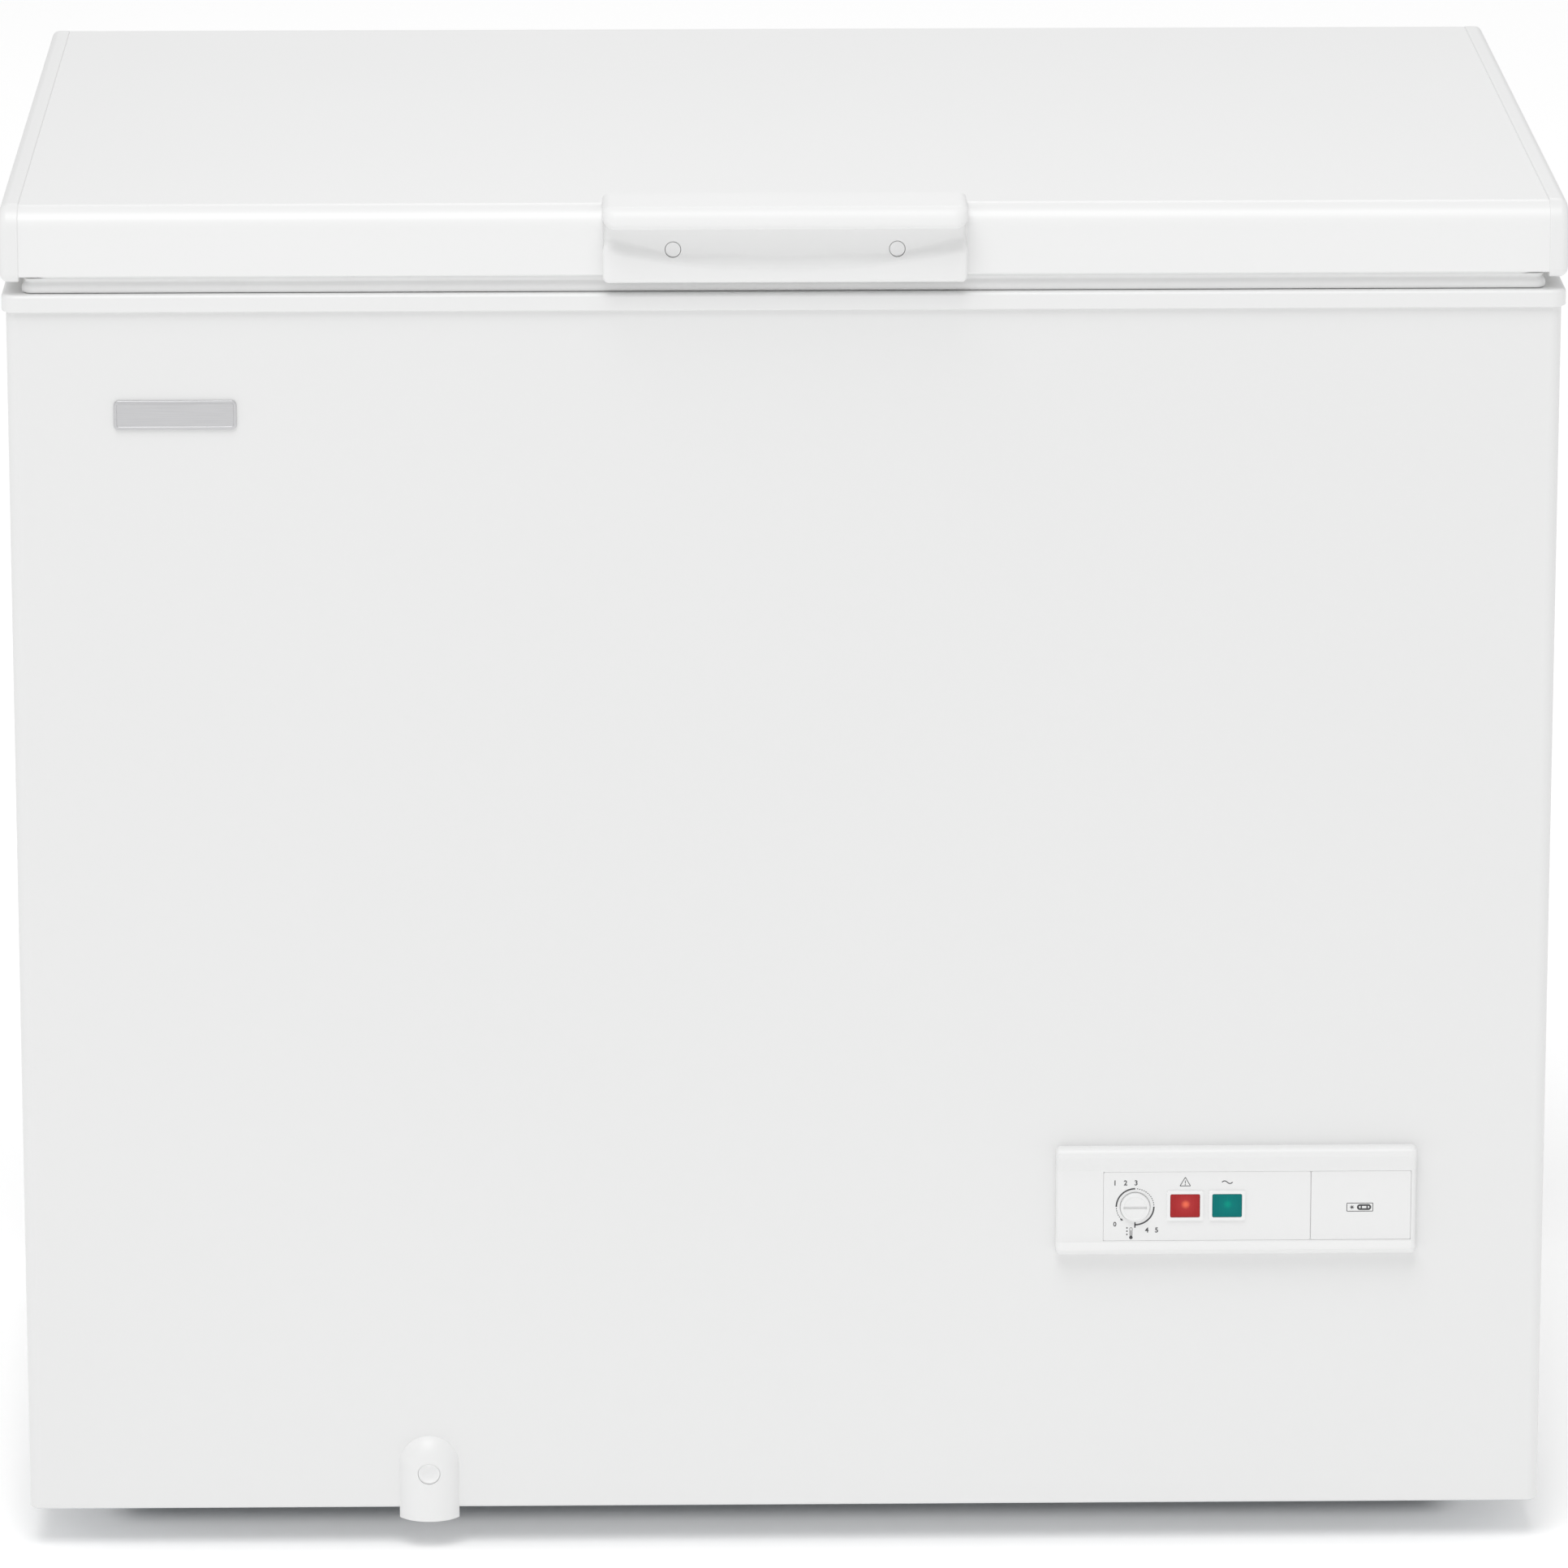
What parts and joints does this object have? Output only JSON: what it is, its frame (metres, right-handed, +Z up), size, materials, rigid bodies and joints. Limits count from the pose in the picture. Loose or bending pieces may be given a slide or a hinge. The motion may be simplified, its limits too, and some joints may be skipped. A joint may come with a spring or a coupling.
{
  "type": "chest freezer",
  "caption": "White top-opening chest freezer with a hinged insulated lid, moulded front grip, front control panel with knob and two lamps, front drain and hanging wire baskets.",
  "frame": {"origin": "on the floor, at the middle of the footprint of the whole object", "axes": "+Z up, the front with the control panel faces -Y, +X is to the right seen from the front"},
  "size_m": [0.943, 0.654, 0.85],
  "materials": {
    "white_steel": "gloss",
    "white_moulding": "satin",
    "white_gasket": "matte",
    "white_panel": "satin",
    "liner_white": "painted satin",
    "galvanised": "satin",
    "foam": "matte",
    "copper": "satin",
    "coated_tube": "satin",
    "black_paint": "semi-gloss",
    "black_plastic": "matte",
    "black_rubber": "matte",
    "zinc": "zinc plated",
    "spring_steel": "satin",
    "satin_badge": "satin",
    "red_lens": "translucent",
    "green_lens": "translucent",
    "basket_wire": "vinyl coated"
  },
  "bodies": {
    "cabinet": {"alarm_lamp_lens": "red_lens", "back_panel": "galvanised", "base_pan": "galvanised", "bay_cover": "galvanised", "bay_cover_screws": "zinc", "cabinet_foam": "foam", "cabinet_wrap": "white_steel", "compressor_bolts": "zinc", "compressor_mounts": "black_rubber", "compressor_shell": "black_paint", "compressor_tray": "galvanised", "condenser_tube": "coated_tube", "control_bezel": "white_moulding", "control_fascia": "white_moulding", "cord_gland": "black_plastic", "drain_cover": "white_moulding", "drain_tube": "white_moulding", "evaporator_tube": "coated_tube", "feet": "black_plastic", "filter_drier": "copper", "hinge_housing_left": "white_steel", "hinge_housing_right": "white_steel", "hinge_pin_left": "zinc", "hinge_pin_right": "zinc", "hinge_spring_left": "spring_steel", "hinge_spring_right": "spring_steel", "housing_screws": "zinc", "lamp_frames": "white_moulding", "lamp_holders": "black_plastic", "machine_bay_panel": "galvanised", "name_badge": "satin_badge", "panel_cover": "white_moulding", "power_lamp_lens": "green_lens", "refrigerant_tubes": "copper", "side_vent_grille": "white_moulding", "start_relay_cover": "black_plastic", "thermostat_body": "zinc", "thermostat_bulb_tube": "copper", "top_trim": "white_moulding", "tub_liner": "liner_white"},
    "lid": {"lid_skin": "white_steel", "lid_end_cap_left": "white_moulding", "lid_end_cap_right": "white_moulding", "lid_inner_panel": "white_panel", "lid_foam": "foam", "lid_gasket": "white_gasket", "lid_handle": "white_moulding", "handle_screws": "zinc", "handle_screw_caps": "white_moulding", "hinge_leaf_left": "zinc", "hinge_leaf_right": "zinc", "leaf_screws": "zinc"},
    "hinge_plunger_left": {"hinge_plunger_left": "black_plastic"},
    "hinge_plunger_right": {"hinge_plunger_right": "black_plastic"},
    "control_knob": {"thermostat_knob": "white_moulding", "thermostat_spindle": "zinc"},
    "drain_cap": {"drain_cap": "white_moulding"},
    "drain_plug": {"tub_drain_plug": "white_moulding"},
    "left_basket": {"basket_left": "basket_wire"},
    "right_basket": {"basket_right": "basket_wire"}
  },
  "joints": [
    {"name": "lid_hinge", "type": "hinge", "parent": "cabinet", "child": "lid", "pos_m": [0, 0.316, 0.79], "axis": [-1, 0, 0], "range_deg": [0, 85]},
    {"name": "plunger_left_slide", "type": "slide", "parent": "cabinet", "child": "hinge_plunger_left", "axis": [0, 0, 1], "range_m": [0, 0.0061], "deforming": ["hinge_spring_left"]},
    {"name": "plunger_right_slide", "type": "slide", "parent": "cabinet", "child": "hinge_plunger_right", "axis": [0, 0, 1], "range_m": [0, 0.0061], "deforming": ["hinge_spring_right"]},
    {"name": "thermostat_turn", "type": "hinge", "parent": "cabinet", "child": "control_knob", "pos_m": [0.2157, -0.3, 0.2192], "axis": [0, 1, 0], "range_deg": [-225, 90]},
    {"name": "drain_cap_pull", "type": "slide", "parent": "cabinet", "child": "drain_cap", "axis": [0, -1, 0], "range_m": [0, 0.02]},
    {"name": "drain_plug_lift", "type": "slide", "parent": "cabinet", "child": "drain_plug", "axis": [0, 0, 1], "range_m": [0, 0.03]},
    {"name": "left_basket_slide", "type": "slide", "parent": "cabinet", "child": "left_basket", "axis": [1, 0, 0], "range_m": [0, 0.15]},
    {"name": "right_basket_slide", "type": "slide", "parent": "cabinet", "child": "right_basket", "axis": [-1, 0, 0], "range_m": [0, 0.15]}
  ],
  "couplings": [
    {"joint": "plunger_left_slide", "follows": "lid_hinge", "m_per_rad": 0.0040444},
    {"joint": "plunger_right_slide", "follows": "lid_hinge", "m_per_rad": 0.0040444}
  ]
}
